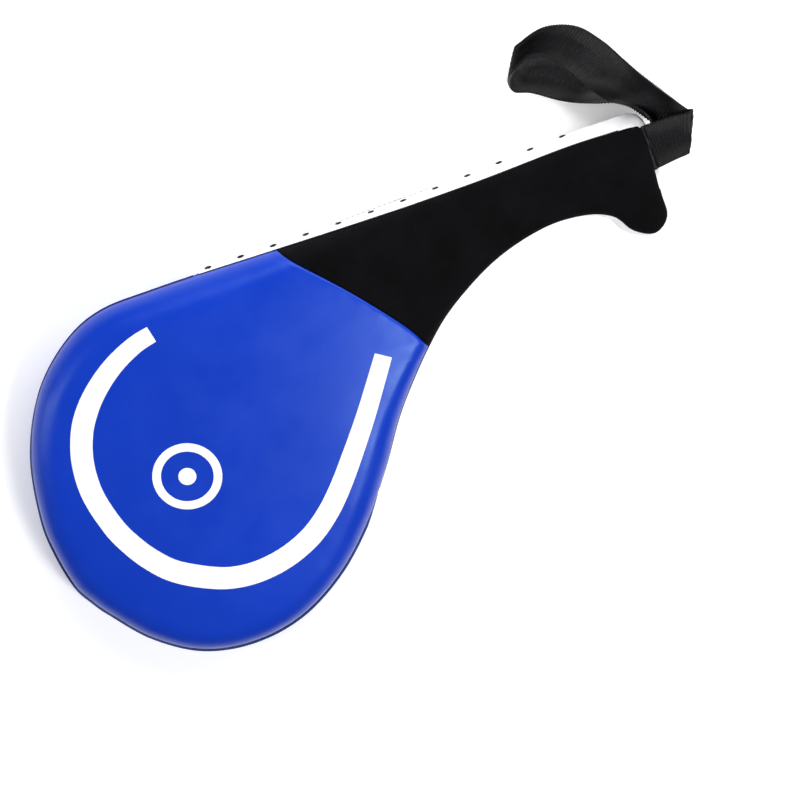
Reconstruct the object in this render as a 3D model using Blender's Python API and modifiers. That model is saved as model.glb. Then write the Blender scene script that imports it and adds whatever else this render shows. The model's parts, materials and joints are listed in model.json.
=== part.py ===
"""Double-blade kick paddle: a hand-held martial arts target.

Two padded blades share one handle. Each blade is a foam pad between a domed outer cover and a flat
inner lining, and the two slap together when a kick lands. The handle holds a stiff core between two
foam pads, under suede panels, with a perforated gusset round its sides and a webbing wrist loop
sewn into the butt.

Frame: metres. The origin is on the rear striking face, under the middle of the blades. +X runs to
the blades' tip, +Z out of the front striking face, and -Y to the spine side of the handle.
"""

import math

import bmesh
import bpy
from mathutils import Vector

MM = 0.001

# Driving dimensions, in millimetres.
THICKNESS = 43.0  # rear striking face to front striking face
MID = THICKNESS / 2  # the plane between the two blades
BLADE_GAP = 3.0  # air between the two inner linings at rest
FLEX_X = -75.0  # where the blades bend
SLIT_X = -62.0  # where the gusset ends and the slit between the blades begins
SKIN = 1.4  # cover leather or suede, with its backing
CLEARANCE = 0.4  # between pieces that touch on the real object
CUT_GAP = 0.5  # between pieces of one skin or pad, where it is split
CORE_HALF = 4.3
CORE_INSET = 6.5
CORE_END_X = -83.0
LINING = 1.0
LINING_INSET = 1.9
STIFFENER_INSET = 9.0
STIFFENER_START_X = -56.0
TAB_LOW = 10.6  # the strap's doubled end, above the mid plane
TAB_HIGH = 14.2
TAB_INNER = -3.6  # inward of the strap's root line
TAB_OUTER = -1.6
WELT_RADIUS = 1.0
WELT_HEIGHT = 2.85  # of its centre above the mid plane
WELT_INSET = 0.3
GUSSET = 1.2
VENT_STEP_X = 17.9  # along the paddle, 19 mm along the slanting gusset
VENT_RADIUS = 1.9
VENT_COUNT = 12
FIRST_VENT_X = -68.6
WEBBING_WIDTH = 25.0
WEBBING_THICKNESS = 1.7
OUTLINE_STEP = 10.5  # spacing of points along the outline

# The rear blade is cut a little larger than the front one, and lies a little towards the hook side.
REAR_SHIFT = (2.7, 3.3)
REAR_GROWTH = 0.012
REAR_RAMP = 30.0  # the distance from the bend over which the difference grows

# The seam outline seen from the front, counter-clockwise from the tip.
TIP_TO_THROAT = (
    (106.4, 10.3), (105.1, 23.8), (102.3, 36.0), (93.0, 63.0), (75.6, 87.3), (50.1, 102.4),
    (19.2, 107.8), (-13.7, 102.0), (-44.8, 88.0), (-73.5, 69.0), (-102.8, 46.4),
)
FINGER_SIDE = (
    (-137.5, 25.8), (-164.0, 14.8), (-197.0, 8.9), (-228.0, 11.2), (-250.0, 19.6),
)
HOOK_END = (-290.3, 36.5)
FINGER_HOOK = ((-262.5, 30.5), (-266.6, 43.5), (-275.2, 52.4), (-285.5, 49.0), HOOK_END)
BUTT = ((-297.4, 18.0), (-302.4, 1.5), (-299.0, -2.8))
SPINE_START = (-288.0, -7.3)
SPINE_SIDE = (
    SPINE_START, (-262.0, -16.9), (-215.0, -31.5), (-160.0, -50.3), (-106.0, -69.3), (-72.0, -81.5),
)
THROAT_TO_TIP = (
    (-37.5, -93.8), (-8.0, -102.7), (17.9, -101.1), (47.7, -88.5), (74.4, -64.3), (94.0, -33.2),
    (102.0, -12.0),
)
OUTLINE = TIP_TO_THROAT + FINGER_SIDE + FINGER_HOOK + BUTT + SPINE_SIDE + THROAT_TO_TIP

# The line where the cover's leather is sewn to the suede, from the spine side to the finger side.
JUNCTION = (
    (-98.0, -90.0), (-105.5, -69.5), (-123.0, -29.0), (-135.5, 8.0), (-138.0, 27.0), (-140.0, 48.0),
)

# How the section changes from the grip to the blades: height above the mid plane of the seam and
# of the face, and the width and height of the rounded edge.
STATIONS_X = (-300.0, -175.0, -140.0, -105.0, -68.0)
SEAM_HEIGHTS = (15.0, 14.0, 11.0, 7.5, 4.2)
FACE_HEIGHTS = (18.5, 19.0, 20.0, 21.0, MID)
EDGE_WIDTHS = (6.0, 6.0, 8.0, 12.0, 15.0)
EDGE_HEIGHTS = (3.3, 4.8, 8.5, 12.5, 14.0)
GUSSET_BULGES = (4.4, 0.8, 0.8, 0.9, 1.0)
EDGE_STEPS = 3  # rings round the rounded edge

# Where across a gusset its rows of points lie, from its rear seam (-1) to its front seam (1).
GUSSET_ROWS = (-1.0, -0.5, 0.0, 0.5, 1.0)

# The slit's roots on the two sides, where the gussets end.
SLIT_SPINE = (-63.0, -85.0)
SLIT_FINGER = (-63.0, 76.5)

VENT_SEGMENTS = 10
VENT_PIN_LENGTH = 24.0

# Joints, in millimetres.
BEND_DEPTH = 0.7  # of the bend's axis below the striking face
STRAP_ROOT = (-301.6, 13.1, 34.1)

# A border this far out is clear of every piece.
FAR_FRONT, FAR_BACK, FAR_SIDE, FAR_UP = 150.0, -340.0, 160.0, 60.0

# The webbing, one line across it at a time: its outer edge, then its inner edge.
FOLD_LINES = (1, 2, 3, 4)  # the lines at the fold, close enough together already
STRAP_LINES = (
    ((-304.8, 1.0, 34.1), (-298.2, 25.2, 34.1)),
    ((-319.0, 5.5, 36.0), (-308.5, 27.0, 36.0)),
    ((-329.0, 10.0, 38.0), (-314.0, 28.0, 38.0)),
    ((-330.6, 9.4, 36.3), (-315.6, 27.4, 36.3)),
    ((-329.0, 8.5, 34.6), (-315.0, 26.0, 33.2)),
    ((-325.5, -2.0, 37.5), (-312.5, 14.0, 23.5)),
    ((-322.0, -13.0, 42.5), (-306.0, -8.5, 23.5)),
    ((-318.0, -27.0, 49.0), (-297.0, -23.0, 37.0)),
    ((-315.0, -40.0, 54.0), (-292.0, -37.0, 49.0)),
    ((-311.8, -54.1, 57.0), (-288.6, -49.4, 54.0)),
    ((-305.2, -69.1, 56.5), (-284.7, -61.0, 50.0)),
    ((-292.1, -78.1, 50.0), (-277.1, -67.4, 38.0)),
    ((-278.1, -77.7, 38.0), (-265.6, -64.3, 24.0)),
    ((-274.1, -73.0, 24.0), (-261.5, -59.1, 11.0)),
    ((-277.6, -66.4, 10.0), (-261.0, -52.1, 4.0)),
    ((-292.0, -54.0, 3.0), (-268.5, -45.0, 2.4)),
    ((-304.0, -36.0, 2.6), (-280.0, -30.0, 2.4)),
    ((-314.0, -20.0, 3.4), (-291.0, -22.0, 12.5)),
    ((-317.0, -9.0, 4.0), (-305.0, -13.0, 25.0)),
    ((-315.0, 2.0, 5.0), (-310.0, -1.0, 29.5)),
    ((-312.8, 12.0, 5.5), (-309.6, 10.0, 30.2)),
)


def curve_through(points, closed):
    """A Catmull-Rom curve through the points, sampled about every OUTLINE_STEP."""
    vectors = [Vector(p) for p in points]
    if closed:
        vectors = [vectors[-1], *vectors, vectors[0], vectors[1]]
    else:
        vectors = [vectors[0], *vectors, vectors[-1]]
    sampled = []
    for a, b, c, d in zip(vectors, vectors[1:], vectors[2:], vectors[3:]):
        pieces = max(2, round((c - b).length / OUTLINE_STEP))
        sampled.extend(spline_point(a, b, c, d, step / pieces) for step in range(pieces))
    if not closed:
        sampled.append(vectors[-1])
    return sampled


def spline_point(a, b, c, d, t):
    linear = (c - a) * t
    square = (2 * a - 5 * b + 4 * c - d) * t * t
    cube = (3 * b - 3 * c + d - a) * t * t * t
    return b + (linear + square + cube) / 2


def rear_outline(points):
    """The rear side's seam outline, which differs from the front one beyond the bend."""
    moved = []
    for point in points:
        share = min(max((point.x - FLEX_X) / REAR_RAMP, 0.0), 1.0)
        moved.append(point + share * (Vector(REAR_SHIFT) + REAR_GROWTH * point))
    return moved


def at_station(x, values):
    """The value of a section dimension at this distance along the paddle."""
    if x <= STATIONS_X[0]:
        return values[0]
    for i in range(1, len(STATIONS_X)):
        if x <= STATIONS_X[i]:
            share = (x - STATIONS_X[i - 1]) / (STATIONS_X[i] - STATIONS_X[i - 1])
            return values[i - 1] + (values[i] - values[i - 1]) * share
    return values[-1]


def outward_normals(points):
    normals = []
    for i, point in enumerate(points):
        along = points[(i + 1) % len(points)] - points[i - 1]
        normals.append(Vector((along.y, -along.x)).normalized())
    return normals


def inset_outline(points, distance):
    """The closed outline moved inward by a distance."""
    return [p - n * distance for p, n in zip(points, outward_normals(points))]


def stretch(points, wanted):
    """The one unbroken stretch of a closed outline whose points pass the test, in order."""
    first = next(i for i, p in enumerate(points) if wanted(p) and not wanted(points[i - 1]))
    return [p for p in points[first:] + points[:first] if wanted(p)]


def make_collection(name):
    made = bpy.data.collections.new(name)
    bpy.context.scene.collection.children.link(made)
    return made


def make_material(name, color, roughness):
    made = bpy.data.materials.new(name)
    made.use_nodes = True
    shader = made.node_tree.nodes["Principled BSDF"]
    shader.inputs["Base Color"].default_value = (*color, 1.0)
    shader.inputs["Roughness"].default_value = roughness
    return made


def add_part(name, bm, material):
    """A named piece of the paddle, with its material and smooth shading."""
    mesh = bpy.data.meshes.new(name)
    bm.to_mesh(mesh)
    bm.free()
    mesh.materials.append(material)
    mesh.shade_smooth()
    mesh.set_sharp_from_angle(angle=math.radians(35))
    made = bpy.data.objects.new(name, mesh)
    PARTS.objects.link(made)
    return made


def add_cutter(name, bm):
    mesh = bpy.data.meshes.new(name)
    bm.to_mesh(mesh)
    bm.free()
    made = bpy.data.objects.new(name, mesh)
    made.hide_render = True
    made.display_type = "WIRE"
    CUTTERS.objects.link(made)
    return made


def face_outward(bm):
    """Turns a closed mesh's faces outward."""
    bmesh.ops.recalc_face_normals(bm, faces=bm.faces)
    if bm.calc_volume(signed=True) < 0:
        bmesh.ops.reverse_faces(bm, faces=bm.faces)


def to_metres(bm, side):
    """Heights above the mid plane become positions; the rear side is the front side turned over."""
    for vert in bm.verts:
        x, y, height = vert.co
        vert.co = (x * MM, y * MM, (MID + side * height) * MM)
    if side < 0:
        bmesh.ops.reverse_faces(bm, faces=bm.faces)


def plate(outline, low, high, side=1):
    """The mesh of a flat plate between two heights above the mid plane."""
    bm = bmesh.new()
    face = bm.faces.new([bm.verts.new((x, y, low)) for x, y in outline])
    raised = bmesh.ops.extrude_face_region(bm, geom=[face])
    top = [item for item in raised["geom"] if isinstance(item, bmesh.types.BMVert)]
    bmesh.ops.translate(bm, verts=top, vec=(0, 0, high - low))
    to_metres(bm, side)
    face_outward(bm)
    return bm


def region_cutter(name, border):
    """A tall prism over a region of the outline, for splitting a whole skin or pad."""
    return add_cutter(name, plate(border, -FAR_UP, FAR_UP))


def cut(target, cutter, operation):
    modifier = target.modifiers.new("cut", "BOOLEAN")
    modifier.operation = operation
    modifier.object = cutter
    modifier.solver = "EXACT"


def junction_border(shift):
    """The leather-to-suede line, moved a little along the paddle."""
    return [(p.x + shift, p.y) for p in curve_through(JUNCTION, False)]


def make_regions():
    """The regions a side is split into: the blade, the throat before the bend, and the grip."""
    half = CUT_GAP / 2
    blade = [
        (FLEX_X + half, -FAR_SIDE), (FAR_FRONT, -FAR_SIDE),
        (FAR_FRONT, FAR_SIDE), (FLEX_X + half, FAR_SIDE),
    ]
    throat = [
        (FLEX_X - half, FAR_SIDE), *reversed(junction_border(half)), (FLEX_X - half, -FAR_SIDE),
    ]
    grip = [*junction_border(-half), (FAR_BACK, FAR_SIDE), (FAR_BACK, -FAR_SIDE)]
    handle = [
        (FAR_BACK, -FAR_SIDE), (FLEX_X - half, -FAR_SIDE),
        (FLEX_X - half, FAR_SIDE), (FAR_BACK, FAR_SIDE),
    ]
    return {
        "blade": region_cutter("blade_region", blade),
        "throat": region_cutter("throat_region", throat),
        "grip": region_cutter("grip_region", grip),
        "handle": region_cutter("handle_region", handle),
    }


def section_height(ring, x, base, lowered):
    """The height of one ring of a domed surface: 0 is its base, 1 the top of its straight side."""
    if ring == 0:
        return at_station(x, SEAM_HEIGHTS) if base is None else base
    face = at_station(x, FACE_HEIGHTS) - lowered
    rounded = at_station(x, EDGE_HEIGHTS) - lowered / 2
    angle = math.radians(90) * (ring - 1) / EDGE_STEPS
    return face - rounded * (1 - math.sin(angle))


def domed_surface(outline, base, lowered):
    """Rings from the seam up the side and over the rounded edge, closed by the flat face.

    Each point first carries its ring's number as its height, so that the surface can be split at
    the stations, and then takes its true height from the section there.
    """
    bm = bmesh.new()
    normals = outward_normals(outline)
    rings = []
    for ring in range(EDGE_STEPS + 2):
        angle = math.radians(90) * max(ring - 1, 0) / EDGE_STEPS
        verts = []
        for point, normal in zip(outline, normals):
            width = at_station(point.x, EDGE_WIDTHS) - lowered / 2
            x, y = point - normal * width * (1 - math.cos(angle))
            verts.append(bm.verts.new((x, y, ring)))
        rings.append(verts)
    for lower, upper in zip(rings, rings[1:]):
        for i in range(len(outline)):
            bm.faces.new((lower[i - 1], lower[i], upper[i], upper[i - 1]))
    bm.faces.new(rings[-1])
    for x in STATIONS_X[1:]:
        geometry = bm.verts[:] + bm.edges[:] + bm.faces[:]
        bmesh.ops.bisect_plane(bm, geom=geometry, plane_co=(x, 0, 0), plane_no=(1, 0, 0), dist=1e-3)
    for vert in bm.verts:
        vert.co.z = section_height(vert.co.z, vert.co.x, base, lowered)
    return bm


def make_skin(name, side, region, material):
    """One piece of a side's outer skin, as a shell that ends at the seam."""
    bm = domed_surface(SEAMS[side], None, 0.0)
    to_metres(bm, side)
    made = add_part(name, bm, material)
    shell = made.modifiers.new("thickness", "SOLIDIFY")
    shell.thickness = SKIN * MM
    shell.offset = -1
    shell.use_even_offset = True
    cut(made, region, "INTERSECT")
    return made


def make_pad(name, side, region, material):
    """One piece of a side's foam, under its skin and over the core."""
    room = SKIN + CLEARANCE
    bm = domed_surface(inset_outline(SEAMS[side], room), CORE_HALF + CLEARANCE, room)
    bmesh.ops.holes_fill(bm, edges=[edge for edge in bm.edges if edge.is_boundary])
    to_metres(bm, side)
    face_outward(bm)
    made = add_part(name, bm, material)
    cut(made, region, "INTERSECT")
    return made


def make_welt(name, side, material):
    """The bound edge of an inner lining: a tube round the blade, open at the slit's root."""
    data = bpy.data.curves.new(name, "CURVE")
    data.dimensions = "3D"
    data.bevel_depth = WELT_RADIUS * MM
    data.bevel_resolution = 1
    data.use_fill_caps = True
    path = stretch(inset_outline(SEAMS[side], WELT_INSET), lambda p: p.x > SLIT_X)
    spline = data.splines.new("POLY")
    spline.points.add(len(path) - 1)
    for target, (x, y) in zip(spline.points, path):
        target.co = (x * MM, y * MM, (MID + side * WELT_HEIGHT) * MM, 1.0)
    data.materials.append(material)
    made = bpy.data.objects.new(name, data)
    PARTS.objects.link(made)
    return made


def make_blade(prefix, side, regions, looks):
    """Everything that moves with one blade."""
    low = BLADE_GAP / 2
    lining = stretch(inset_outline(SEAMS[side], LINING_INSET), lambda p: p.x > SLIT_X)
    board = stretch(inset_outline(SEAMS[side], STIFFENER_INSET), lambda p: p.x > STIFFENER_START_X)
    board_low = low + LINING + CLEARANCE
    return [
        make_skin(f"{prefix}_face_cover", side, regions["blade"], looks["blue_leather"]),
        make_pad(f"{prefix}_blade_pad", side, regions["blade"], looks["foam"]),
        add_part(f"{prefix}_inner_lining", plate(lining, low, low + LINING, side), looks["lining"]),
        add_part(f"{prefix}_stiffener", plate(board, board_low, CORE_HALF, side), looks["board"]),
        make_welt(f"{prefix}_edge_welt", side, looks["welt"]),
    ]


def make_handle_side(prefix, side, regions, looks):
    """One side of the handle: its suede panel, its foam, and the leather of the throat."""
    make_skin(f"{prefix}_grip_panel", side, regions["grip"], looks["suede"])
    make_skin(f"{prefix}_throat_cover", side, regions["throat"], looks["blue_leather"])
    make_pad(f"{prefix}_grip_pad", side, regions["handle"], looks["foam"])


def make_core(material):
    """The stiff board through the handle, from the butt to just before the bend."""
    outline = stretch(inset_outline(SEAMS[1], CORE_INSET), lambda p: p.x < CORE_END_X)
    return add_part("handle_core", plate(outline, -CORE_HALF, CORE_HALF), material)


def gusset_path(start, end):
    """The seam from one point of the outline to another, as points with normals."""
    seam = SEAMS[1]
    first, last = (min(range(len(seam)), key=lambda i: (seam[i] - Vector(p)).length) for p in (start, end))
    pairs = list(zip(seam, outward_normals(seam)))
    path = pairs[first : last + 1] if first < last else pairs[first:] + pairs[: last + 1]
    ends = [path[0][0].copy(), path[-1][0].copy()]
    for end_point, neighbour in zip(ends, (path[1][0], path[-2][0])):
        end_point += (neighbour - end_point).normalized() * CUT_GAP / 2
    return [(ends[0], path[0][1]), *path[1:-1], (ends[1], path[-1][1])]


def make_gusset(name, start, end, material):
    """A side strip sewn between the front and rear skins, bulging outward between its seams."""
    bm = bmesh.new()
    rows = []
    for point, normal in gusset_path(start, end):
        half = at_station(point.x, SEAM_HEIGHTS) - CLEARANCE
        bulge = at_station(point.x, GUSSET_BULGES)
        row = []
        for u in GUSSET_ROWS:
            x, y = point + normal * bulge * (1 - u * u)
            row.append(bm.verts.new((x, y, half * u)))
        rows.append(row)
    for row, after in zip(rows, rows[1:]):
        for j in range(1, len(row)):
            bm.faces.new((row[j - 1], after[j - 1], after[j], row[j]))
    to_metres(bm, 1)
    made = add_part(name, bm, material)
    shell = made.modifiers.new("thickness", "SOLIDIFY")
    shell.thickness = GUSSET * MM
    shell.offset = -1
    return made


def punch_vents(gusset):
    """One cutter of separate pins, one for each vent hole in the spine side's gusset."""
    path = gusset_path(SPINE_START, SLIT_SPINE)
    bm = bmesh.new()
    for i in range(VENT_COUNT):
        x = FIRST_VENT_X - i * VENT_STEP_X
        point, normal = min(path, key=lambda pair: abs(pair[0].x - x))
        y = point.y - (x - point.x) * normal.x / normal.y
        pin = bmesh.ops.create_cone(
            bm, cap_ends=True, segments=VENT_SEGMENTS, radius1=VENT_RADIUS, radius2=VENT_RADIUS,
            depth=VENT_PIN_LENGTH,
        )
        turn = normal.to_3d().to_track_quat("Z", "Y").to_matrix()
        bmesh.ops.rotate(bm, verts=pin["verts"], matrix=turn)
        bmesh.ops.translate(bm, verts=pin["verts"], vec=(x, y, 0))
    to_metres(bm, 1)
    face_outward(bm)
    cut(gusset, add_cutter("vent_pins", bm), "DIFFERENCE")


def box_at_root(width, inner, outer, low, high):
    """A box on the butt, square to the strap's root line."""
    start, end = (Vector(p[:2]) for p in STRAP_LINES[0])
    along = (end - start).normalized() * width / 2
    out = Vector((-along.y, along.x)).normalized()
    middle = (start + end) / 2
    corners = [
        middle - along + out * inner, middle - along + out * outer,
        middle + along + out * outer, middle + along + out * inner,
    ]
    return plate(corners, low, high)


def make_strap_tab(gusset, material):
    """The strap's doubled end, sewn into the seam over the butt gusset, in its own notch."""
    tab = box_at_root(WEBBING_WIDTH, TAB_INNER, TAB_OUTER, TAB_LOW, TAB_HIGH)
    notch = box_at_root(
        WEBBING_WIDTH + 2 * CLEARANCE, TAB_INNER - SKIN * 4, TAB_OUTER + SKIN * 7,
        TAB_LOW - CLEARANCE, TAB_HIGH + CORE_HALF,
    )
    cut(gusset, add_cutter("tab_notch", notch), "DIFFERENCE")
    return add_part("strap_tab", tab, material)


def make_strap(material):
    """The wrist loop: a band of webbing from the butt seam, folded once, round the wrist and back."""
    edges = [[Vector(line[k]) for line in STRAP_LINES] for k in (0, 1)]
    edges = [[edge[0], *edge, edge[-1]] for edge in edges]
    bm = bmesh.new()
    rows = []
    for i in range(len(STRAP_LINES) - 1):
        steps = 1 if i in FOLD_LINES else 2
        for step in range(steps):
            outer, inner = (spline_point(*edge[i : i + 4], step / steps) for edge in edges)
            rows.append((outer, outer.lerp(inner, 0.5), inner))
    outer, inner = (Vector(end) for end in STRAP_LINES[-1])
    rows.append((outer, outer.lerp(inner, 0.5), inner))
    verts = [[bm.verts.new(point * MM) for point in row] for row in rows]
    for row, after in zip(verts, verts[1:]):
        for j in (1, 2):
            bm.faces.new((row[j - 1], after[j - 1], after[j], row[j]))
    made = add_part("wrist_strap", bm, material)
    shell = made.modifiers.new("thickness", "SOLIDIFY")
    shell.thickness = WEBBING_THICKNESS * MM
    shell.offset = 0
    return made


def add_joint_empty(name, place, children):
    """An empty on a joint's axis, with the pieces that turn about it as its children."""
    empty = bpy.data.objects.new(name, None)
    empty.location = Vector(place) * MM
    PARTS.objects.link(empty)
    for child in children:
        child.parent = empty
        child.matrix_parent_inverse.translation = -empty.location


def main():
    looks = {
        "blue_leather": make_material("blue_leather", (0.016, 0.045, 0.52), 0.38),
        "suede": make_material("suede", (0.004, 0.004, 0.006), 0.95),
        "white_gusset": make_material("white_gusset", (0.85, 0.85, 0.86), 0.5),
        "foam": make_material("foam", (0.5, 0.5, 0.48), 0.9),
        "board": make_material("board", (0.12, 0.12, 0.13), 0.6),
        "lining": make_material("lining", (0.01, 0.03, 0.3), 0.5),
        "welt": make_material("welt", (0.01, 0.015, 0.12), 0.5),
        "webbing": make_material("webbing", (0.01, 0.01, 0.012), 0.8),
    }
    regions = make_regions()
    front = make_blade("front", 1, regions, looks)
    rear = make_blade("rear", -1, regions, looks)
    make_handle_side("front", 1, regions, looks)
    make_handle_side("rear", -1, regions, looks)
    make_core(looks["board"])
    white = looks["white_gusset"]
    make_gusset("finger_gusset", SLIT_FINGER, HOOK_END, white)
    butt = make_gusset("butt_gusset", HOOK_END, SPINE_START, white)
    spine = make_gusset("spine_gusset", SPINE_START, SLIT_SPINE, white)
    punch_vents(spine)
    make_strap_tab(butt, looks["webbing"])
    strap = make_strap(looks["webbing"])
    add_joint_empty("front_blade_flex", (FLEX_X, 0, THICKNESS - BEND_DEPTH), front)
    add_joint_empty("rear_blade_flex", (FLEX_X, 0, BEND_DEPTH), rear)
    add_joint_empty("strap_swing", STRAP_ROOT, [strap])


for old in list(bpy.data.objects):
    bpy.data.objects.remove(old)
PARTS = make_collection("kick_paddle")
CUTTERS = make_collection("cutters")
SEAM = curve_through(OUTLINE, True)
SEAMS = {1: SEAM, -1: rear_outline(SEAM)}
main()
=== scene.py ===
"""The looks of the double-blade kick paddle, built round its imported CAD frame.

Lengths are in millimetres until a mesh is made, and in metres for the floor, lights and camera. A
height is measured from the plane midway between the two blades, outward on either side.
"""

import json
import math

import bmesh
import bpy
import numpy as np
from mathutils import Matrix, Vector, noise


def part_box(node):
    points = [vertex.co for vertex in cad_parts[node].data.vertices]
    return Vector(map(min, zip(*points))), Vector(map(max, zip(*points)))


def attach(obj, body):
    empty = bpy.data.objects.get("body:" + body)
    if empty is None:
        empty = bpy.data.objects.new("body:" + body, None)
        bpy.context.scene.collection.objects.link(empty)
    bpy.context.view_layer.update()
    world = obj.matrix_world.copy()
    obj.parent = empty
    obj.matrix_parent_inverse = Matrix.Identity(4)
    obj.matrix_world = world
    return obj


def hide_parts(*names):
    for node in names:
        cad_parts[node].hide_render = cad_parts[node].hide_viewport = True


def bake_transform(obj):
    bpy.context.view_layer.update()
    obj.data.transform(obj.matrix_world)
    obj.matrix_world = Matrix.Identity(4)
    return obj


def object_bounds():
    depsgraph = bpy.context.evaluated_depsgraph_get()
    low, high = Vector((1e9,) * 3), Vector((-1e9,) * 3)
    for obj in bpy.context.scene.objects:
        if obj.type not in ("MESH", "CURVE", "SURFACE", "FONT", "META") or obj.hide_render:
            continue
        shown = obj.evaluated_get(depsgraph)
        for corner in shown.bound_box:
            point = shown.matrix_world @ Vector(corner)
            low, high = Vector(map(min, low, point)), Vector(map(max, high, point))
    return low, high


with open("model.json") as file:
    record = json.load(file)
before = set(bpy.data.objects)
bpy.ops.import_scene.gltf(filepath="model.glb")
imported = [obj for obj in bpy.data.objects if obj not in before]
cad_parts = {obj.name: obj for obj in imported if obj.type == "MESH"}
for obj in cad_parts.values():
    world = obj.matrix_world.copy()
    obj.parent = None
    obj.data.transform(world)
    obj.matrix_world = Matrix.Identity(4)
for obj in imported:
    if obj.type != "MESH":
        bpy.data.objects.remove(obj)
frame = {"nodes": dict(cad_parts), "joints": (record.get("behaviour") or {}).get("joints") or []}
CAD_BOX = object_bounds()

MM = 0.001
MID = (CAD_BOX[0].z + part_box("front_face_cover")[1].z) / 2 / MM  # the plane between the blades
JOINTS = {joint["name"]: Vector(joint["pos_m"]) / MM for joint in frame["joints"]}
BEND_X = JOINTS["front_blade_flex"].x

SHARP_ANGLE = 40.0  # in degrees, from which an edge isn't shaded smooth
OUTLINE_STEP = 3.0
TUBE_SIDES = 8

# The seam outline seen from the front, counter-clockwise from the tip.
OUTLINE = (
    (106.4, 10.3), (105.1, 23.8), (102.3, 36.0), (93.0, 63.0), (75.6, 87.3), (50.1, 102.4),
    (19.2, 107.8), (-13.7, 102.0), (-44.8, 88.0), (-73.5, 69.0), (-102.8, 46.4), (-137.5, 25.8),
    (-164.0, 14.8), (-197.0, 8.9), (-228.0, 11.2), (-250.0, 19.6), (-262.5, 30.5), (-266.6, 43.5),
    (-275.2, 52.4), (-285.5, 49.0), (-290.3, 36.5), (-297.4, 18.0), (-302.4, 1.5), (-299.0, -2.8),
    (-288.0, -7.3), (-262.0, -16.9), (-215.0, -31.5), (-160.0, -50.3), (-106.0, -69.3),
    (-72.0, -81.5), (-37.5, -93.8), (-8.0, -102.7), (17.9, -101.1), (47.7, -88.5), (74.4, -64.3),
    (94.0, -33.2), (102.0, -12.0),
)
# The line where the leather is sewn to the suede, from the spine side to the finger side.
JUNCTION = (
    (-105.5, -69.5), (-123.0, -29.0), (-135.5, 8.0), (-137.6, 25.9),
)
# The rear blade is a little larger than the front one, and lies a little towards the tip and the
# finger side. The difference comes in over a short length past the bend.
REAR_SHIFT = (2.7, 3.3)
REAR_GROWTH = 0.012
REAR_RAMP = 30.0

# The section at five distances along the paddle: heights of the seam and of the face, the width
# and height of the rounded edge, and how far the gusset bulges between its seams.
STATIONS_X = (-300.0, -175.0, -140.0, -105.0, -68.0)
SEAM_HEIGHTS = (15.0, 14.0, 11.0, 7.5, 4.2)
FACE_HEIGHTS = (18.5, 19.0, 20.0, 21.0, 21.5)
EDGE_WIDTHS = (6.0, 6.0, 8.0, 12.0, 15.0)
EDGE_HEIGHTS = (3.3, 4.8, 8.5, 12.5, 14.0)
GUSSET_BULGES = (4.4, 0.8, 0.8, 0.9, 1.0)

SLIT_X = -62.0  # the root of the slit between the blades
LINING_HEIGHTS = (1.5, 2.5)
LINING_INSET = 1.9
WELT_RADIUS = 1.0
WELT_HEIGHT = 2.85
WELT_INSET = 0.3
BLADE_CENTRE = (0.0, 3.0)
# Shares of the way from a flat plate's border to the blade's centre, where its rings lie.
PLATE_SHARES = (0.005, 0.06, 0.2, 0.4, 0.6, 0.8)
# The grip's middle line, from near the sewn line to near the butt.
GRIP_SPINE = ((-150.0, -18.0), (-200.0, -8.0), (-250.0, 5.0), (-276.0, 14.0))
GRIP_SPINE_STEP = 0.5

FACE_CROWN = 0.9
CROWN_REACH = 90.0
CROWN_START_X = -175.0
CROWN_RAMP = 100.0
SHOULDER_DROP = 2.0  # the face's slow fall towards its edges
SHOULDER_REACH = 15.0
SHOULDER_START_X = -190.0
SHOULDER_RAMP = 60.0
SHOULDER_LEAST = 0.2  # the share of the fall that the grip has at its far end
PUCKER = 0.28  # depth of the face's unevenness, and of the puckers along its seams
SWELL_LENGTH = 38.0  # of the slow unevenness all over the face
PUCKER_LENGTH = 7.0
PUCKER_REACH = 10.0
SEWN_PUCKER_LENGTH = 6.0
SEWN_PUCKER_REACH = 5.0
SEAM_TURN = 1.2  # how far leather rolls down at the sewn line
SEAM_TURN_WIDTH = 1.3 * SEAM_TURN
SEAM_GAP = 0.15  # half the space between two pieces at the sewn line
LEAST_RISE = 0.3  # of the face above the seam

UNDERSIDE = 4.7  # height of a pad's flat underside
UNDERSIDE_INSET = 1.8
UNDERSIDE_SHARES = (0.7, 0.45, 0.2)  # of the way to the pad's middle, where its rings lie
# The rings of a pad's wall: shares of the way up from the seam to the face, and their insets.
WALL_RINGS = ((0.0, 0.5), (0.3, 0.12), (0.65, 0.0))
# Inward distances of the rings over a padded face, then shares of the way left to its middle.
EDGE_RINGS = (0.0, 0.3, 0.8, 1.5, 2.4, 3.6, 5.0, 6.6, 8.4, 10.4, 12.6, 15.0)
INNER_SHARES = (0.06, 0.13, 0.22, 0.32, 0.43, 0.55, 0.68, 0.81, 0.92, 0.96)
EDGE_REACH = 0.7  # the most of the way to its middle that the rounded edge's rings may take

GUSSET_START_X = SLIT_X - 1.0  # where the gusset starts, on the spine side and the finger side
GUSSET_STEP = 2.0
GUSSET_TUCK = 0.5
GUSSET_CREST = 0.3
GUSSET_CREST_WIDTH = 0.16  # as a share of the gusset's half width
GUSSET_GAP = 0.2
GUSSET_THICKNESS = 0.45
GUSSET_COLUMNS = 13
GUSSET_END_SHARE = 0.5  # of its width that is left where it ends, at the slit's root
GUSSET_END_TAPER = 10.0
FOLD_DEPTH = 0.9
FOLD_LENGTH = 5.5
FOLD_SLANT = 40.0  # how far the folds' pattern moves on between the gusset's middle and its edge
FOLD_SEED = 3.0
FOLD_RAMP = 30.0
FOLD_START_X = -240.0  # where the folds round the butt begin
FOLD_LEAST = 0.12  # the share of the folds that the rest of the gusset has
# A thin black tube along the front cover's seam with the gusset, which paints the seam gap's shade.
SEAM_SHADE_RADIUS = 0.4
SEAM_SHADE_END_X = -292.0
SEAM_SHADE_OUT = 0.1
STITCH_PITCH = 3.0
STITCH_INSET = 2.2
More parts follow.
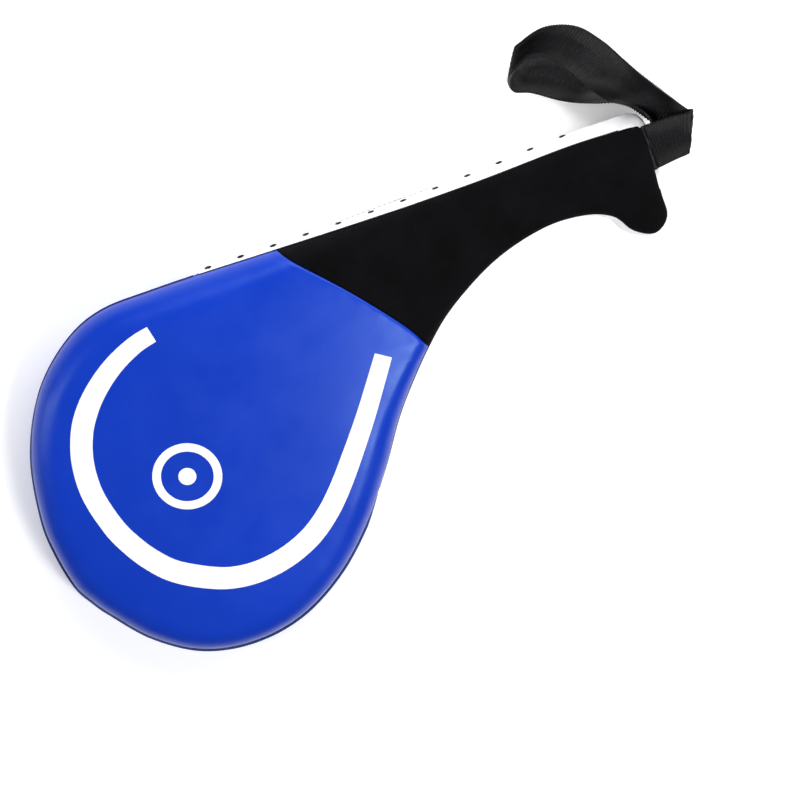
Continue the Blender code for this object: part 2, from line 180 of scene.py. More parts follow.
STITCH_SHARE = 0.78  # of the pitch that a stitch covers
THREAD_RADIUS = 0.28

VENT_STEP_X = 17.9
VENT_RADIUS = 1.9
VENT_SIDES = 24
VENT_PIN_LENGTH = 12.0  # of the cutter for each vent
VENT_COUNT = 12
FIRST_VENT_X = -68.6
LAST_VENT_X = FIRST_VENT_X - VENT_STEP_X * (VENT_COUNT - 1)
SPINE_NORMAL_Y = -0.5  # an outward normal's y is below this on the spine side
# A black sheet close behind the vents' leather, which paints the shade inside the vents: painted
# shade.
SHADE_SHEET_HALF = 2.9
SHADE_SHEET_MOST = 0.9  # the most of the gusset's half width that the dark sheet takes
SHADE_SHEET_THICKNESS = 0.5
SHADE_SHEET_GAP = 0.1
SHADE_SHEET_OVERRUN = 5.0
SHADE_SHEET_COLUMNS = 7
EYELET_RADIUS = 1.62
EYELET_WIRE = 0.33
EYELET_SIDES = 20

# The webbing, one line across it at a time: its outer edge, then its inner edge.
STRAP_LINES = (
    ((-304.8, 1.0, 34.1), (-298.2, 25.2, 34.1)),
    ((-319.0, 5.5, 36.0), (-308.5, 27.0, 36.0)),
    ((-329.0, 10.0, 38.0), (-314.0, 28.0, 38.0)),
    ((-330.6, 9.4, 36.3), (-315.6, 27.4, 36.3)),
    ((-329.0, 8.5, 34.6), (-315.0, 26.0, 33.2)),
    ((-325.5, -2.0, 37.5), (-312.5, 14.0, 23.5)),
    ((-322.0, -13.0, 42.5), (-306.0, -8.5, 23.5)),
    ((-318.0, -27.0, 49.0), (-297.0, -23.0, 37.0)),
    ((-315.0, -40.0, 54.0), (-292.0, -37.0, 49.0)),
    ((-311.8, -54.1, 57.0), (-288.6, -49.4, 54.0)),
    ((-305.2, -69.1, 56.5), (-284.7, -61.0, 50.0)),
    ((-292.1, -78.1, 50.0), (-277.1, -67.4, 38.0)),
    ((-278.1, -77.7, 38.0), (-265.6, -64.3, 24.0)),
    ((-274.1, -73.0, 24.0), (-261.5, -59.1, 11.0)),
    ((-277.6, -66.4, 10.0), (-261.0, -52.1, 4.0)),
    ((-292.0, -54.0, 3.0), (-268.5, -45.0, 2.4)),
    ((-304.0, -36.0, 2.6), (-280.0, -30.0, 2.4)),
    ((-314.0, -20.0, 3.4), (-291.0, -22.0, 12.5)),
    ((-317.0, -9.0, 4.0), (-305.0, -13.0, 25.0)),
    ((-315.0, 2.0, 5.0), (-310.0, -1.0, 29.5)),
    ((-312.8, 12.0, 5.5), (-309.6, 10.0, 30.2)),
)
# The strap's short end, from under the suede's edge to just below the strap's first line.
STRAP_END_LINES = (
    ((-300.9, -0.1, 35.3), (-294.3, 24.1, 35.3)),
    ((-302.9, 0.5, 35.2), (-296.3, 24.7, 35.2)),
    ((-304.0, 0.8, 34.2), (-297.4, 25.0, 34.2)),
    ((-304.6, 1.0, 33.1), (-298.0, 25.2, 33.1)),
)
STRAP_DIP = 3.4  # how far the gusset's front edge is lowered under the strap's end
STRAP_DIP_REACH = 5.0  # the distance over which it is lowered
RIB_PITCH = 1.45
RIB_DEPTH = 0.42
RIB_SLANT = 0.16
RIB_SAMPLES = 5
WEBBING_HALF_WIDTH = 12.5
WEBBING_THICKNESS = 1.7
WEBBING_EDGE_SHARE = 0.45  # of the webbing's thickness that its edges have at least
WEBBING_ROUNDING = 0.98  # how nearly the rest of the thickness falls to nothing there
WEBBING_STEP = 1.0
WEBBING_COLUMNS = (-1.0, -0.93, -0.7, -0.35, 0.0, 0.35, 0.7, 0.93, 1.0)

# The printed stripe's middle line, round the face from the spine side to the finger side.
STRIPE = (
    (-24.8, -78.0), (-14.0, -79.1), (0.8, -77.8), (15.0, -74.0), (28.4, -67.9), (40.4, -59.1),
    (51.5, -45.5), (59.5, -27.6), (62.7, -6.2), (62.0, 8.2), (59.1, 22.4), (52.8, 37.0),
    (39.0, 53.2), (26.6, 62.3), (11.9, 67.8), (-4.1, 69.9), (-20.5, 68.5), (-36.4, 63.2),
    (-51.6, 55.3), (-69.6, 44.0), (-87.0, 32.4), (-101.5, 21.9), (-115.7, 11.5),
)
STRIPE_HALF_WIDTHS = (4.7, 6.1, 6.2, 6.8, 6.4, 5.8, 4.9)
STRIPE_STEP = 2.5
STRIPE_COLUMNS = 5
RING_CENTRE = (12.0, -3.0)
RING_RADIUS = 17.0
RING_HALF_WIDTH = 2.4
RING_COLUMNS = 3
RING_SIDES = 96
DOT_RADIUS = 5.0
DOT_SHARES = (0.02, 0.265, 0.51, 0.755, 1.0)  # of its radius, where its rings lie
PRINT_LIFT = 0.12
PRINT_THICKNESS = 0.12


# ---------------------------------------------------------------- lines and sections


def spline(points, step, closed=False):
    """Points about a step apart on a Catmull-Rom curve through the given ones."""
    p = np.array(points, float)
    ends = (p[-1:], p[:2]) if closed else (p[:1], p[-1:])
    p = np.vstack((ends[0], p, ends[1]))
    found = []
    for a, b, c, d in zip(p, p[1:], p[2:], p[3:]):
        count = max(1, round(np.linalg.norm(c - b) / step))
        t = (np.arange(count) / count)[:, None]
        bend = (c - a) * t + (2 * a - 5 * b + 4 * c - d) * t**2 + (3 * b - 3 * c + d - a) * t**3
        found.append(b + bend / 2)
    if not closed:
        found.append(p[-1:])
    return np.vstack(found)


def normals_of(points, closed=True):
    """Unit normals to the right of a line in plan, which is outward for the outline."""
    if closed:
        along = np.roll(points, -1, axis=0) - np.roll(points, 1, axis=0)
    else:
        along = np.gradient(points, axis=0)
    out = np.stack((along[:, 1], -along[:, 0]), axis=1)
    return out / np.linalg.norm(out, axis=1)[:, None]


def distance_to(points, line, closed=False):
    """Each point's distance to a line in plan."""
    start = line if closed else line[:-1]
    end = np.roll(line, -1, axis=0) if closed else line[1:]
    nearest = np.full(len(points), np.inf)
    for a, b in zip(start, end):
        along = b - a
        t = np.clip(((points - a) @ along) / (along @ along), 0, 1)
        away = points - a - t[:, None] * along
        nearest = np.minimum(nearest, np.hypot(away[:, 0], away[:, 1]))
    return nearest


SEAM = spline(OUTLINE, OUTLINE_STEP, closed=True)
SEWN_LINE = spline(JUNCTION, OUTLINE_STEP)


def at_station(x, values):
    """One measure of the section at places along the paddle."""
    return np.interp(x, STATIONS_X, values)


def rise(x, start, length, least=0.0):
    """A share that grows evenly to 1 over a length from a start, and is never under the least."""
    return np.clip((x - start) / length, least, 1)


def ripple(points, length, seed):
    """Smooth noise between -1 and 1, with features of a given length, at points in plan."""
    return np.array([noise.noise(Vector((x / length, y / length, seed))) for x, y in points])


def rear_outline(points):
    """The rear side's outline, from the front side's."""
    change = np.array(REAR_SHIFT) + REAR_GROWTH * points
    return points + rise(points[:, :1], BEND_X, REAR_RAMP) * change


def quarter_round(distance, width):
    """0 at a width's distance or further, rising to 1 at no distance, along a quarter circle."""
    inside = 1 - np.clip(distance / width, 0, 1)
    return 1 - np.sqrt(1 - inside**2)


def face_height(points, outline, seed):
    """The height of the padded face over points in plan."""
    x = points[:, 0]
    edge = distance_to(points, outline, closed=True)
    sewn = distance_to(points, SEWN_LINE)
    crown = 1 - quarter_round(edge, CROWN_REACH)
    shoulder = np.exp(-edge / SHOULDER_REACH)
    height = at_station(x, FACE_HEIGHTS)
    height += FACE_CROWN * crown * rise(x, CROWN_START_X, CROWN_RAMP)
    height -= FACE_CROWN / 2
    height -= SHOULDER_DROP * shoulder * rise(x, SHOULDER_START_X, SHOULDER_RAMP, SHOULDER_LEAST)
    height += PUCKER * ripple(points, SWELL_LENGTH, seed)
    height += PUCKER * ripple(points, PUCKER_LENGTH, seed + 5) * np.exp(-edge / PUCKER_REACH)
    height += (
        PUCKER * ripple(points, SEWN_PUCKER_LENGTH, seed + 9) * np.exp(-sewn / SEWN_PUCKER_REACH)
    )
    height -= at_station(x, EDGE_HEIGHTS) * quarter_round(edge, at_station(x, EDGE_WIDTHS))
    height -= SEAM_TURN * quarter_round(sewn, SEAM_TURN_WIDTH)
    return np.maximum(height, at_station(x, SEAM_HEIGHTS) + LEAST_RISE)


# ---------------------------------------------------------------- meshes


def new_object(name, bm):
    """A smoothly shaded object made from a bmesh, which is freed."""
    mesh = bpy.data.meshes.new(name)
    bm.to_mesh(mesh)
    bm.free()
    mesh.shade_smooth()
    mesh.set_sharp_from_angle(angle=math.radians(SHARP_ANGLE))
    made = bpy.data.objects.new(name, mesh)
    bpy.context.scene.collection.objects.link(made)
    return made


def apply_modifiers(piece):
    """Puts the piece's modifiers into its mesh."""
    graph = bpy.context.evaluated_depsgraph_get()
    mesh = bpy.data.meshes.new_from_object(piece.evaluated_get(graph))
    piece.modifiers.clear()
    piece.data = mesh


def placed(points, heights, side):
    """Points in plan and heights as places in metres."""
    z = MID + side * np.asarray(heights)
    return np.column_stack((points, np.broadcast_to(z, len(points)))) * MM


def skin_rings(rings, name, side):
    """A closed mesh from rings of places, each joined to the next, with its two ends filled."""
    bm = bmesh.new()
    made = [[bm.verts.new(place) for place in ring] for ring in rings]
    for lower, upper in zip(made, made[1:]):
        for i in range(len(lower)):
            bm.faces.new((lower[i - 1], lower[i], upper[i], upper[i - 1]))
    ends = [bm.faces.new(reversed(made[0])), bm.faces.new(made[-1])]
    bmesh.ops.triangulate(bm, faces=ends)
    if side < 0:
        bmesh.ops.reverse_faces(bm, faces=bm.faces)
    return new_object(name, bm)


def towards(border, targets, distances):
    """The border's points moved towards their targets by a distance, where there is room for it."""
    way = targets - border
    length = np.linalg.norm(way, axis=1)[:, None]
    reach = length * EDGE_REACH
    return border + way / length * distances * np.minimum(1, reach / EDGE_RINGS[-1])


def padded_form(name, border, targets, outline, side, seed):
    """A closed pad over a border in plan: an underside, a wall, and a rounded, crowned face."""
    seam = at_station(border[:, 0], SEAM_HEIGHTS)
    under = towards(border, targets, UNDERSIDE_INSET)
    rings = [
        placed(under * (1 - share) + targets * share, UNDERSIDE, side)
        for share in UNDERSIDE_SHARES
    ]
    rings.append(placed(under, UNDERSIDE, side))
    rings.append(placed(under, seam, side))
    rim = face_height(border, outline, seed)
    for share, inset in WALL_RINGS:
        rings.append(placed(towards(border, targets, inset), seam + share * (rim - seam), side))
    for distance in EDGE_RINGS:
        points = towards(border, targets, distance)
        rings.append(placed(points, face_height(points, outline, seed), side))
    last = towards(border, targets, EDGE_RINGS[-1])
    for share in INNER_SHARES:
        points = last * (1 - share) + targets * share
        rings.append(placed(points, face_height(points, outline, seed), side))
    return skin_rings(rings, name, side)


def flat_plate(name, border, low, high, side):
    """A thin flat plate over a blade's border in plan, with eased edges."""
    ease = (high - low) / 3
    centre = np.broadcast_to(np.array(BLADE_CENTRE), border.shape)
    faces = [border * (1 - share) + centre * share for share in PLATE_SHARES]
    rings = [placed(points, low, side) for points in reversed(faces)]
    rings.append(placed(border, low + ease, side))
    rings.append(placed(border, high - ease, side))
    rings.extend(placed(points, high, side) for points in faces)
    return skin_rings(rings, name, side)


def tube(name, path, radius):
    """A closed tube of one radius along a path of places in metres."""
    path = np.asarray(path)
    along = np.gradient(path, axis=0)
    along /= np.linalg.norm(along, axis=1)[:, None]
    across = np.cross(along, (0.0, 0.0, 1.0))
    across /= np.linalg.norm(across, axis=1)[:, None]
    up = np.cross(across, along)
    turns = 2 * math.pi * np.arange(TUBE_SIDES) / TUBE_SIDES
    bm = bmesh.new()
    rows = []
    for p, a, b in zip(path, across, up):
        rows.append([bm.verts.new(p + radius * (a * math.cos(t) + b * math.sin(t))) for t in turns])
    for row, after in zip(rows, rows[1:]):
        for i in range(TUBE_SIDES):
            bm.faces.new((row[i - 1], row[i], after[i], after[i - 1]))
    bm.faces.new(reversed(rows[0]))
    bm.faces.new(rows[-1])
    bmesh.ops.recalc_face_normals(bm, faces=bm.faces)
    return new_object(name, bm)


def strip(name, rows, thickness):
    """A closed strip from rows of places across it, thickened about its own surface."""
    rows = np.asarray(rows)
    along = np.gradient(rows, axis=0)
    across = np.gradient(rows, axis=1)
    out = np.cross(along, across)
    out /= np.linalg.norm(out, axis=2)[:, :, None]
    half = np.broadcast_to(np.asarray(thickness) / 2, rows.shape[:2])[:, :, None]
    loops = np.concatenate((rows + out * half, (rows - out * half)[:, ::-1]), axis=1)
    bm = bmesh.new()
    verts = [[bm.verts.new(place) for place in loop] for loop in loops]
    for loop, after in zip(verts, verts[1:]):
        for i in range(len(loop)):
            bm.faces.new((loop[i - 1], loop[i], after[i], after[i - 1]))
    bm.faces.new(reversed(verts[0]))
    bm.faces.new(verts[-1])
    bmesh.ops.recalc_face_normals(bm, faces=bm.faces)
    return new_object(name, bm)


# ---------------------------------------------------------------- materials


def new_material(name, roughness):
    """A material, and its shader."""
    made = bpy.data.materials.new(name)
    made.use_nodes = True
    shader = made.node_tree.nodes["Principled BSDF"]
    shader.inputs["Roughness"].default_value = roughness
    return made, shader


def node(tree, kind, **inputs):
    """A new node of a kind, with values for the inputs that are named."""
    made = tree.nodes.new(kind)
    for name, value in inputs.items():
        made.inputs[name.replace("_", " ")].default_value = value
    return made


def object_noise(tree, scale, detail=3.0, roughness=0.55):
    """Noise over the object's own coordinates."""
    place = tree.nodes.new("ShaderNodeTexCoord")
    made = node(tree, "ShaderNodeTexNoise", Scale=scale, Detail=detail, Roughness=roughness)
    tree.links.new(place.outputs["Object"], made.inputs["Vector"])
    return made.outputs["Fac"]


def ramp(tree, value, low, high):
    """A colour or grey between two, by a value, which mostly lies between 0.3 and 0.7."""
    made = tree.nodes.new("ShaderNodeValToRGB")
    tree.links.new(value, made.inputs["Fac"])
    first, last = made.color_ramp.elements
    first.position, first.color = 0.3, low
    last.position, last.color = 0.7, high
    return made.outputs["Color"]


def grey(value):
    return (value, value, value, 1.0)


def add_bump(tree, shader, value, depth, under=None):
    """A bump of a depth in metres from a value, over another bump if there is one."""
    made = node(tree, "ShaderNodeBump", Strength=1.0, Distance=depth)
    tree.links.new(value, made.inputs["Height"])
    if under:
        tree.links.new(under, made.inputs["Normal"])
    tree.links.new(made.outputs["Normal"], shader.inputs["Normal"])
    return made.outputs["Normal"]


def leather(name, light, dark, roughness, grain, depth, sheen=(1.0, 1.0, 1.0, 1.0)):
    """Polyurethane leather: pebbles of a grain in millimetres, with slow changes of colour and of
    gloss. The grain's depth is in metres, and the sheen is the tint of its reflections.
    """
    made, shader = new_material(name, roughness)
    tree = made.node_tree
    shader.inputs["Specular IOR Level"].default_value = 0.3
    shader.inputs["Specular Tint"].default_value = sheen
    tree.links.new(ramp(tree, object_noise(tree, 14.0), dark, light), shader.inputs["Base Color"])
    gloss = ramp(tree, object_noise(tree, 60.0), grey(roughness - 0.05), grey(roughness + 0.06))
    tree.links.new(gloss, shader.inputs["Roughness"])
    place = tree.nodes.new("ShaderNodeTexCoord")
    pebble_scale = 1 / MM / grain
    pebbles = node(tree, "ShaderNodeTexVoronoi", Scale=pebble_scale)
    tree.links.new(place.outputs["Object"], pebbles.inputs["Vector"])
    under = add_bump(tree, shader, object_noise(tree, pebble_scale / 3), depth * 1.5)
    add_bump(tree, shader, pebbles.outputs["Distance"], depth, under)
    return made


def suede(name):
    """Black suede: a short nap, brushed darker and lighter in patches."""
    made, shader = new_material(name, 0.95)
    tree = made.node_tree
    shader.inputs["Specular IOR Level"].default_value = 0.1
    patches = ramp(
        tree, object_noise(tree, 45.0, 5.0), (0.0008, 0.0007, 0.001, 1), (0.0026, 0.0023, 0.0032, 1)
    )
    tree.links.new(patches, shader.inputs["Base Color"])
    nap = object_noise(tree, 1400.0, 4.0, 0.7)
    add_bump(tree, shader, nap, 0.0003)
    return made


def webbing(name):
    """Black nylon webbing: fine threads over the ribs of the weave."""
    made, shader = new_material(name, 0.38)
    tree = made.node_tree
    shader.inputs["Specular IOR Level"].default_value = 0.28
    threads = ramp(
        tree, object_noise(tree, 900.0, 4.0), (0.0006, 0.0006, 0.001, 1), (0.0036, 0.0036, 0.005, 1)
    )
    tree.links.new(threads, shader.inputs["Base Color"])
    add_bump(tree, shader, object_noise(tree, 1900.0, 2.0), 0.00022)
    return made


def plain_plastic(name, light, dark, roughness):
    """Board or thread: a slightly uneven colour and a fine texture."""
    made, shader = new_material(name, roughness)
    tree = made.node_tree
    tree.links.new(ramp(tree, object_noise(tree, 80.0), dark, light), shader.inputs["Base Color"])
    add_bump(tree, shader, object_noise(tree, 1500.0), 0.00005)
    return made


LOOKS = {
    "blue": leather(
        "blue_leather", (0.0035, 0.037, 0.455, 1), (0.003, 0.033, 0.41, 1), 0.33, 0.9, 0.00002,
        sheen=(0.62, 0.9, 1.0, 1.0),
    ),
    # A lighter copy of the navy welt leather, for the rear welt only: painted light on the rim
    # beyond the front welt.
    "rim": leather(
        "rim_leather_painted_light", (0.03, 0.065, 0.25, 1), (0.022, 0.05, 0.2, 1), 0.45, 0.9, 0.00002
    ),
    "navy": leather(
        "navy_leather", (0.010, 0.022, 0.17, 1), (0.007, 0.015, 0.12, 1), 0.5, 0.9, 0.00003
    ),
    # Black for the eyelets, and for the painted shade of the vent sheet and the seam tube.
    "black": leather(
        "black_eyelets_and_painted_shade", (0.004, 0.005, 0.012, 1), (0.003, 0.003, 0.008, 1), 0.55, 0.9, 0.00002
    ),
    "white": leather(
        "white_leather", (0.86, 0.86, 0.87, 1), (0.8, 0.8, 0.82, 1), 0.5, 1.1, 0.00004
    ),
    "suede": suede("black_suede"),
    "webbing": webbing("ribbed_webbing"),
    "print": leather(
        "white_print", (0.92, 0.92, 0.92, 1), (0.88, 0.88, 0.89, 1), 0.45, 0.9, 0.00001
    ),
    "board": plain_plastic("board", (0.05, 0.05, 0.055, 1), (0.03, 0.03, 0.033, 1), 0.6),
    "thread": plain_plastic("thread", (0.85, 0.85, 0.85, 1), (0.7, 0.7, 0.71, 1), 0.7),
}


def finish_piece(piece, look):
    """The piece with one look."""
    piece.data.materials.clear()
    piece.data.materials.append(LOOKS[look])
    return piece


def bend_with(piece):
    """Puts the piece's transform into its mesh."""
    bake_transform(piece)


# ---------------------------------------------------------------- the padded sides


def beyond_junction(points):
    """Whether each point lies on the blade's side of the sewn line."""
    order = np.argsort(SEWN_LINE[:, 1])
    return points[:, 0] > np.interp(points[:, 1], SEWN_LINE[order, 1], SEWN_LINE[order, 0])


def stretch(points, wanted):
    """The one unbroken stretch of a closed line whose points are wanted, in order."""
    first = next(i for i in range(len(points)) if wanted[i] and not wanted[i - 1])
    return np.roll(points, -first, axis=0)[: int(wanted.sum())]


def nearest_on(points, line):
    """Each point's nearest place on a line, found at close steps along it."""
    steps = spline(line, GRIP_SPINE_STEP)
    away = np.linalg.norm(points[:, None] - steps[None], axis=2)
    return steps[away.argmin(axis=1)]


def closed_by(seam, line):
    """A closed border: a stretch of the seam, then the sewn line back to its start."""
    if np.linalg.norm(seam[-1] - line[0]) > np.linalg.norm(seam[-1] - line[-1]):
        line = line[::-1]
    return np.vstack((seam, line))


def make_print(name, rows, outline, side, seed):
    """A thin print on the face, from rows of points across it in plan."""
    shape = rows.shape[:2]
    flat = rows.reshape(-1, 2)
    places = placed(flat, face_height(flat, outline, seed) + PRINT_LIFT, side)
    made = strip(name, places.reshape(*shape, 3), PRINT_THICKNESS * MM)
    return finish_piece(made, "print")


def band_rows(middle, half_widths, columns):
    """Rows of points across a band in plan, about its middle line."""
    out = normals_of(middle, closed=False)
    across = np.linspace(-1, 1, columns)[None, :, None]
    return middle[:, None] + out[:, None] * across * np.reshape(half_widths, (-1, 1, 1))


def make_prints(prefix, outline, side, seed):
    """The stripe round the face, and a ring with a dot in it."""
    middle = spline(STRIPE, STRIPE_STEP)
    share = np.linspace(0, 1, len(middle))
    widths = np.interp(share, np.linspace(0, 1, len(STRIPE_HALF_WIDTHS)), STRIPE_HALF_WIDTHS)
    rows = band_rows(middle, widths, STRIPE_COLUMNS)
    stripe = make_print(f"{prefix}_stripe", rows, outline, side, seed)
    bend_with(stripe)
    turn = np.linspace(0, 2 * math.pi, RING_SIDES + 1)
    circle = np.stack((np.cos(turn), np.sin(turn)), axis=1)
    centre = np.array(RING_CENTRE)
    rows = band_rows(centre + circle * RING_RADIUS, RING_HALF_WIDTH, RING_COLUMNS)
    ring = make_print(f"{prefix}_ring", rows, outline, side, seed)
    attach(ring, f"{prefix}_blade")
    spokes = np.array(DOT_SHARES)[None, :, None] * DOT_RADIUS
    dot = make_print(f"{prefix}_dot", centre + circle[:, None] * spokes, outline, side, seed)
    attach(dot, f"{prefix}_blade")


def make_side(prefix, side, outline, seed):
    """One side of the paddle: its cover, its grip, and the blade's inner face and welt."""
    on_blade = beyond_junction(outline)
    gap = np.array((SEAM_GAP, 0.0))
    border = closed_by(stretch(outline, on_blade), SEWN_LINE + gap)
    centre = np.broadcast_to(np.array(BLADE_CENTRE), border.shape)
    cover = padded_form(f"{prefix}_cover", border, centre, outline, side, seed)
    finish_piece(cover, "blue")
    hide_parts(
        f"{prefix}_face_cover", f"{prefix}_throat_cover", f"{prefix}_blade_pad",
        f"{prefix}_stiffener",
    )
    bend_with(cover)

    border = closed_by(stretch(outline, ~on_blade), SEWN_LINE - gap)
    targets = nearest_on(border, GRIP_SPINE)
    grip = padded_form(f"{prefix}_grip", border, targets, outline, side, seed)
    finish_piece(grip, "suede")
    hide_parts(f"{prefix}_grip_panel", f"{prefix}_grip_pad")
    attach(grip, "handle")

    inset = outline - normals_of(outline) * LINING_INSET
    lining = flat_plate(
        f"{prefix}_inner_face", stretch(inset, inset[:, 0] > SLIT_X), *LINING_HEIGHTS, side
    )
    finish_piece(lining, "navy")
    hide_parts(f"{prefix}_inner_lining")
    bend_with(lining)

    inset = outline - normals_of(outline) * WELT_INSET
    path = stretch(inset, inset[:, 0] > SLIT_X)
    welt = tube(f"{prefix}_welt", placed(path, WELT_HEIGHT, side), WELT_RADIUS * MM)
    # The two welts get two tones of one leather: the front welt's darker navy paints the shade line
    # between the blades, and the rear welt's lighter rim leather paints light on the rim beyond it.
    finish_piece(welt, "navy" if side > 0 else "rim")
    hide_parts(f"{prefix}_edge_welt")
    bend_with(welt)
    make_prints(prefix, outline, side, seed)


make_side("front", 1, SEAM, 1.0)
make_side("rear", -1, rear_outline(SEAM), 40.0)

# ---------------------------------------------------------------- the gusset and its vents


def gusset_out(points, u, bulge):
    """How far the gusset stands out of the seam line, at a share of the way to its edge."""
    crest = GUSSET_CREST * np.exp(-((u / GUSSET_CREST_WIDTH) ** 2))
    out = bulge * (1 - u**2) - GUSSET_TUCK * u**4 + crest
    slanted = np.column_stack((points[:, 0], points[:, 1] + FOLD_SLANT * u))
    folds = ripple(slanted, FOLD_LENGTH, FOLD_SEED) * (1 - u**2)
    near_butt = rise(-points[:, 0], -FOLD_START_X, FOLD_RAMP, FOLD_LEAST)
    return out + FOLD_DEPTH * folds * near_butt


def gusset_path(step=GUSSET_STEP):
    """The seam round the handle from one root of the slit to the other, with outward normals."""
    path = spline(stretch(SEAM, SEAM[:, 0] < GUSSET_START_X), step)
    return path, normals_of(path, closed=False)


def on_spine_side(out):
    """Whether each outward normal is one of the spine side's."""
    return out[:, 1] < SPINE_NORMAL_Y


def gusset_edges(path):
    """The heights of the gusset's front and rear edges from the mid plane."""
    rear = at_station(path[:, 0], SEAM_HEIGHTS) - GUSSET_GAP
    taper = GUSSET_END_SHARE + (SLIT_X - path[:, 0]) / GUSSET_END_TAPER
    rear *= np.clip(taper, GUSSET_END_SHARE, 1)
    root = np.array(STRAP_LINES[0])[:, :2]
    apart = distance_to(path, root) - np.linalg.norm(root[0] - path, axis=1).min()
    dip = STRAP_DIP * np.clip(1 - apart / STRAP_DIP_REACH, 0, 1)
    return rear - dip, rear


def gusset_places(path, out, share, lift=0.0):
    """Places at a share of the way from the gusset's middle to its rear (-1) or front (1) edge."""
    u = np.broadcast_to(share, len(path))
    front, rear = gusset_edges(path)
    bulge = at_station(path[:, 0], GUSSET_BULGES)
    points = path + out * (gusset_out(path, u, bulge) + lift)[:, None]
    return np.column_stack((points, MID + np.where(u > 0, front, rear) * u)) * MM


def vent_centres():
    """The vents' places in plan, evenly along the spine side, with their outward normals."""
    path, out = gusset_path()
    line = np.hstack((path, out))[on_spine_side(out)]
    line = line[line[:, 0].argsort()]
    x = FIRST_VENT_X - VENT_STEP_X * np.arange(VENT_COUNT)
    found = np.stack([np.interp(x, line[:, 0], values) for values in line.T], axis=1)
    return found[:, :2], found[:, 2:]


def make_gusset():
    """The white side strip, from one root of the slit round the butt to the other, with vents."""
    path, out = gusset_path()
    shares = np.linspace(-1, 1, GUSSET_COLUMNS)
    rows = np.stack([gusset_places(path, out, share) for share in shares], axis=1)
    gusset = strip("side_gusset", rows, GUSSET_THICKNESS * MM)
    bm = bmesh.new()
    for centre, normal in zip(*vent_centres()):
        pin = bmesh.ops.create_cone(
            bm, cap_ends=True, segments=VENT_SIDES, radius1=VENT_RADIUS * MM,
            radius2=VENT_RADIUS * MM, depth=VENT_PIN_LENGTH * MM,
        )
        turn = Vector((*normal, 0)).to_track_quat("Z", "Y").to_matrix()
        bmesh.ops.rotate(bm, verts=pin["verts"], matrix=turn)
        bmesh.ops.translate(bm, verts=pin["verts"], vec=Vector((*centre, MID)) * MM)
    pins = new_object("vent_pins", bm)
    cut = gusset.modifiers.new("vents", "BOOLEAN")
    cut.operation = "DIFFERENCE"
    cut.solver = "EXACT"
    cut.object = pins
    apply_modifiers(gusset)
    bpy.data.objects.remove(pins)
    finish_piece(gusset, "white")
    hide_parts("spine_gusset", "finger_gusset", "butt_gusset")
    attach(gusset, "handle")


def make_eyelets():
    """A small black rolled eyelet in each vent."""
    centres, normals = vent_centres()
    places = gusset_places(centres, normals, 0.0, GUSSET_THICKNESS / 2)
    turns = np.linspace(0, 2 * math.pi, EYELET_SIDES + 1)[:-1]
    bm = bmesh.new()
    for place, out in zip(places, normals):
        normal = Vector((*out, 0)).normalized()
        along = normal.cross((0, 0, 1))
        rings = []
        for turn in turns:
            radial = along * math.cos(turn) + Vector((0, 0, math.sin(turn)))
            centre = Vector(place) + radial * EYELET_RADIUS * MM
            wire = [
                radial * math.cos(t) * EYELET_WIRE * MM + normal * math.sin(t) * EYELET_WIRE * MM
                for t in turns[::2]
            ]
            rings.append([bm.verts.new(centre + offset) for offset in wire])
        for i, ring in enumerate(rings):
            for j in range(len(ring)):
                bm.faces.new((rings[i - 1][j - 1], rings[i - 1][j], ring[j], ring[j - 1]))
    bmesh.ops.recalc_face_normals(bm, faces=bm.faces)
    eyelets = new_object("vent_eyelets", bm)
    finish_piece(eyelets, "black")
    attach(eyelets, "handle")


def make_vent_shade_sheet():
    """A black strip close under the gusset's leather behind the vents, which paints the shade seen
    through them: painted shade.
    """
    path, out = gusset_path()
    behind = on_spine_side(out) & (path[:, 0] > LAST_VENT_X - SHADE_SHEET_OVERRUN)
    path, out = path[behind], out[behind]
    lift = -(GUSSET_THICKNESS + SHADE_SHEET_THICKNESS) / 2 - SHADE_SHEET_GAP
    half = np.minimum(SHADE_SHEET_HALF / gusset_edges(path)[1], SHADE_SHEET_MOST)
    rows = [
        gusset_places(path, out, share * half, lift)
        for share in np.linspace(-1, 1, SHADE_SHEET_COLUMNS)
    ]
    shade_sheet = strip("vent_shade_sheet", np.stack(rows, axis=1), SHADE_SHEET_THICKNESS * MM)
    # The black here is painted shade inside the vents.
    finish_piece(shade_sheet, "black")
    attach(shade_sheet, "handle")


def make_seam_shade_lines():
    """A thin black tube in the seam between the gusset and the front cover, along both edges, which
    paints the seam gap's shade as a dark line: painted shade.
    """
    path, out = gusset_path()
    height = at_station(path[:, 0], SEAM_HEIGHTS)
    for edge, towards_y in (("spine", -1), ("finger", 1)):
        along = (out[:, 1] * towards_y > 0) & (path[:, 0] > SEAM_SHADE_END_X)
        points = path[along] + out[along] * SEAM_SHADE_OUT
        places = placed(points, height[along] - SEAM_SHADE_OUT, 1)
        seam_shade = tube(f"{edge}_piping", places, SEAM_SHADE_RADIUS * MM)
        # The black here is the seam's painted shade.
        finish_piece(seam_shade, "black")
        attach(seam_shade, "handle")


def make_gusset_stitches():
    """Lock stitches along both edges of the gusset."""
    path, out = gusset_path(STITCH_PITCH)
    bm = bmesh.new()
    for side, edge in zip((1, -1), gusset_edges(path)):
        share = side * (1 - STITCH_INSET / edge)
        places = gusset_places(path, out, share, GUSSET_THICKNESS / 2)
        for here, after in zip(places, places[1:]):
            add_stitch(bm, Vector(here), Vector(after))
    stitches = new_object("gusset_stitches", bm)
    finish_piece(stitches, "thread")
    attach(stitches, "handle")


